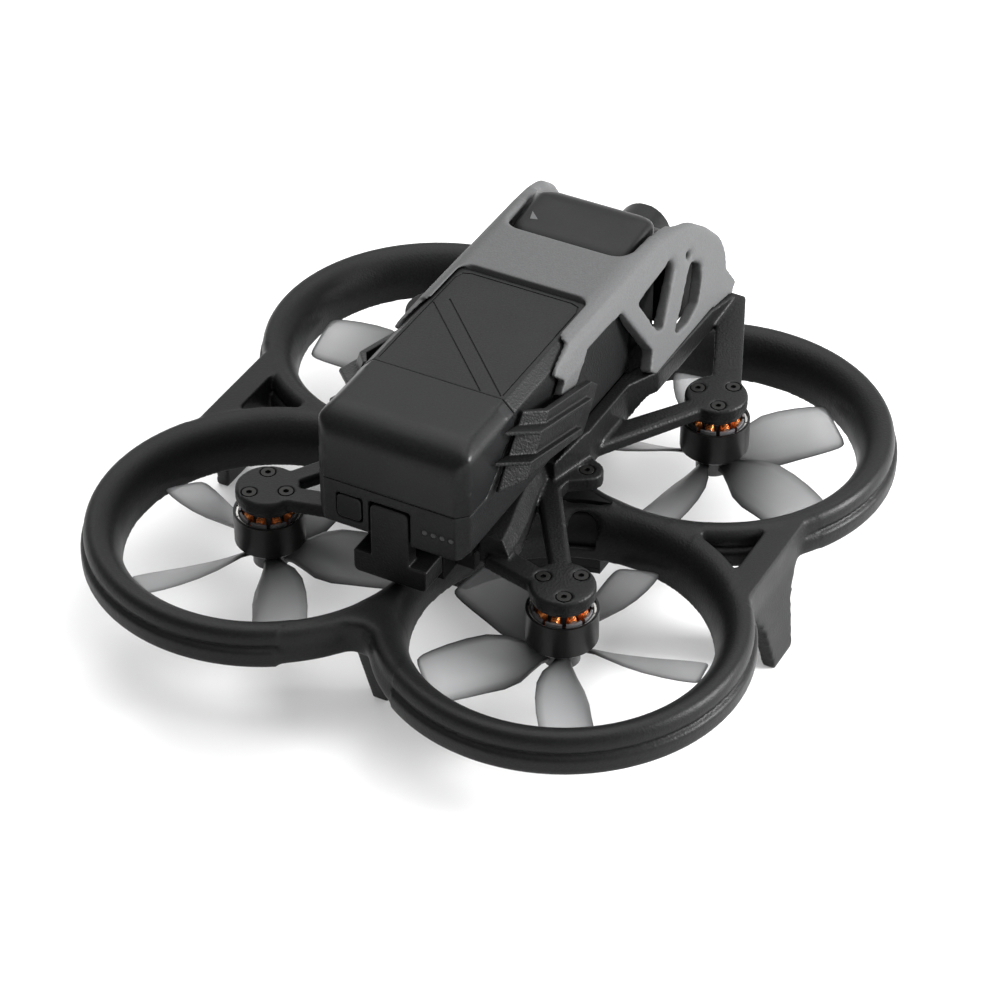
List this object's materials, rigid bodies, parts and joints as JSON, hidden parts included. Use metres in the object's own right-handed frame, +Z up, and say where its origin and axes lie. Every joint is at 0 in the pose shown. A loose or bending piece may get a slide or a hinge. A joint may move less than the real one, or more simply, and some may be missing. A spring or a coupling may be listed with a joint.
{
  "type": "small ducted first-person-view quadcopter",
  "caption": "Compact ducted FPV drone: one-piece prop guard, arm frame, spinning five-blade props, tilting nose camera and a slide-out battery with buckles.",
  "frame": {"origin": "on the ground, under the middle of the four motor axes, which is the middle of the footprint", "axes": "+X the aircraft's right side, +Y its nose, +Z up"},
  "size_m": [0.1776, 0.1824, 0.0792],
  "materials": {
    "guard_black": "fine moulded grain",
    "arm_black": "coarse moulded grain",
    "pod_black": "matte",
    "frame_grey": "fine moulded grain",
    "battery_charcoal": "fine speckled grain",
    "cap_satin": "satin",
    "cover_black": "satin",
    "blade_smoke": "translucent smoke",
    "bell_black": "satin anodised",
    "shaft_steel": "ground",
    "screw_black": "black oxide",
    "magnet_nickel": "nickel plated",
    "copper_wire": "enamelled copper",
    "stator_steel": "laminated",
    "led_white": "frosted",
    "board_green": "solder mask",
    "sink_aluminium": "milled",
    "damper_rubber": "matte",
    "lens_glass": "coated",
    "cell_wrap": "foil"
  },
  "bodies": {
    "airframe": {"prop_guard": "guard_black", "fuselage_pod": "pod_black", "bottom_cover": "pod_black", "bottom_sensors": "lens_glass", "arm_frame": "arm_black", "motor_screws": "screw_black", "frame_screws": "screw_black", "motor_bases": "bell_black", "motor_bearings": "shaft_steel", "stator_cores": "stator_steel", "stator_windings": "copper_wire", "power_port": "pod_black", "battery_tray": "pod_black", "upper_frame": "frame_grey", "front_cover": "cover_black", "core_housing": "pod_black", "main_board": "board_green", "esc_board": "board_green", "heat_sink": "sink_aluminium", "gps_module": "board_green", "gps_posts": "shaft_steel", "side_ports": "shaft_steel", "gimbal_bracket": "pod_black", "gimbal_dampers": "damper_rubber", "tilt_motor": "bell_black", "pivot_pin": "shaft_steel"},
    "camera": {"camera_housing": "cap_satin", "lens_barrel": "pod_black", "lens_glass": "lens_glass"},
    "battery": {"battery_case": "battery_charcoal", "battery_rear_cap": "cap_satin", "battery_cells": "cell_wrap", "battery_leds": "led_white"},
    "power_button": {"power_button": "cap_satin"},
    "power_plug": {"power_plug": "arm_black"},
    "buckle_right": {"buckle_right": "arm_black"},
    "buckle_left": {"buckle_left": "arm_black"},
    "rotor_fl": {"motor_bell_fl": "bell_black", "magnets_fl": "magnet_nickel", "motor_shaft_fl": "shaft_steel", "propeller_fl": "blade_smoke", "prop_screws_fl": "screw_black"},
    "rotor_fr": {"motor_bell_fr": "bell_black", "magnets_fr": "magnet_nickel", "motor_shaft_fr": "shaft_steel", "propeller_fr": "blade_smoke", "prop_screws_fr": "screw_black"},
    "rotor_rl": {"motor_bell_rl": "bell_black", "magnets_rl": "magnet_nickel", "motor_shaft_rl": "shaft_steel", "propeller_rl": "blade_smoke", "prop_screws_rl": "screw_black"},
    "rotor_rr": {"motor_bell_rr": "bell_black", "magnets_rr": "magnet_nickel", "motor_shaft_rr": "shaft_steel", "propeller_rr": "blade_smoke", "prop_screws_rr": "screw_black"}
  },
  "joints": [
    {"name": "rotor_fl_spin", "type": "hinge", "parent": "airframe", "child": "rotor_fl", "pos_m": [-0.0412, 0.0436, 0.02], "axis": [0, 0, 1], "continuous": true},
    {"name": "rotor_fr_spin", "type": "hinge", "parent": "airframe", "child": "rotor_fr", "pos_m": [0.0412, 0.0436, 0.02], "axis": [0, 0, 1], "continuous": true},
    {"name": "rotor_rl_spin", "type": "hinge", "parent": "airframe", "child": "rotor_rl", "pos_m": [-0.0412, -0.0436, 0.02], "axis": [0, 0, 1], "continuous": true},
    {"name": "rotor_rr_spin", "type": "hinge", "parent": "airframe", "child": "rotor_rr", "pos_m": [0.0412, -0.0436, 0.02], "axis": [0, 0, 1], "continuous": true},
    {"name": "camera_tilt", "type": "hinge", "parent": "airframe", "child": "camera", "pos_m": [0, 0.072, 0.054], "axis": [1, 0, 0], "range_deg": [-95, 75]},
    {"name": "battery_slide", "type": "slide", "parent": "airframe", "child": "battery", "axis": [0, -1, 0], "range_m": [0, 0.095]},
    {"name": "power_button_press", "type": "slide", "parent": "battery", "child": "power_button", "axis": [0, 1, 0], "range_m": [0, 0.0006], "stiffness_N_per_m": 900},
    {"name": "power_plug_pull", "type": "slide", "parent": "battery", "child": "power_plug", "axis": [0, -1, 0], "range_m": [0, 0.012]},
    {"name": "buckle_right_press", "type": "hinge", "parent": "battery", "child": "buckle_right", "pos_m": [0.0215, -0.039, 0.066], "axis": [0, 0, 1], "range_deg": [0, 1.4], "stiffness_Nm_per_rad": 0.9},
    {"name": "buckle_left_press", "type": "hinge", "parent": "battery", "child": "buckle_left", "pos_m": [-0.0215, -0.039, 0.066], "axis": [0, 0, -1], "range_deg": [0, 1.4], "stiffness_Nm_per_rad": 0.9}
  ]
}
